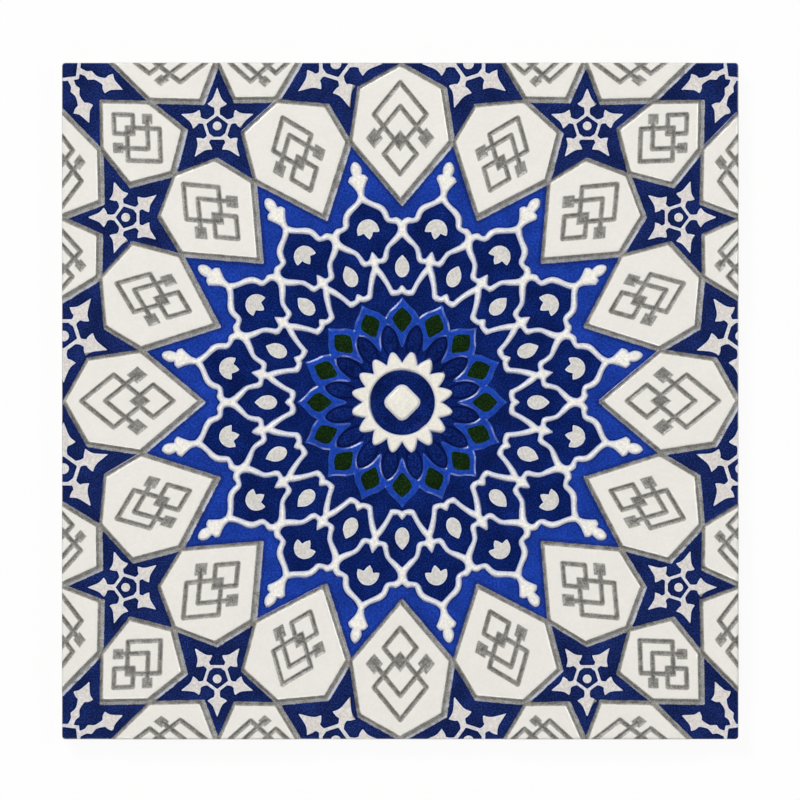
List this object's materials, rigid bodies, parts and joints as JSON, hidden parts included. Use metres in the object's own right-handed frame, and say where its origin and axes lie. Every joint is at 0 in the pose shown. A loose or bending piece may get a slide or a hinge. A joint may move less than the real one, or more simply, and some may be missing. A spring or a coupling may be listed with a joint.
{
  "type": "mosaic star tile",
  "caption": "Square relief wall tile: a round star rosette of cords and petals framed by raised, bevelled pads with engraved knots, on a flat ribbed back",
  "frame": {"origin": "bottom centre of the tile: the plane of its back ribs, under the middle of its face", "axes": "+Z out of the decorated face, +Y up the face as it is hung, +X to the right"},
  "size_m": [0.2, 0.2, 0.0085],
  "materials": {
    "glazed_ceramic": "gloss"
  },
  "bodies": {
    "root": {"tile": "glazed_ceramic"}
  },
  "joints": []
}
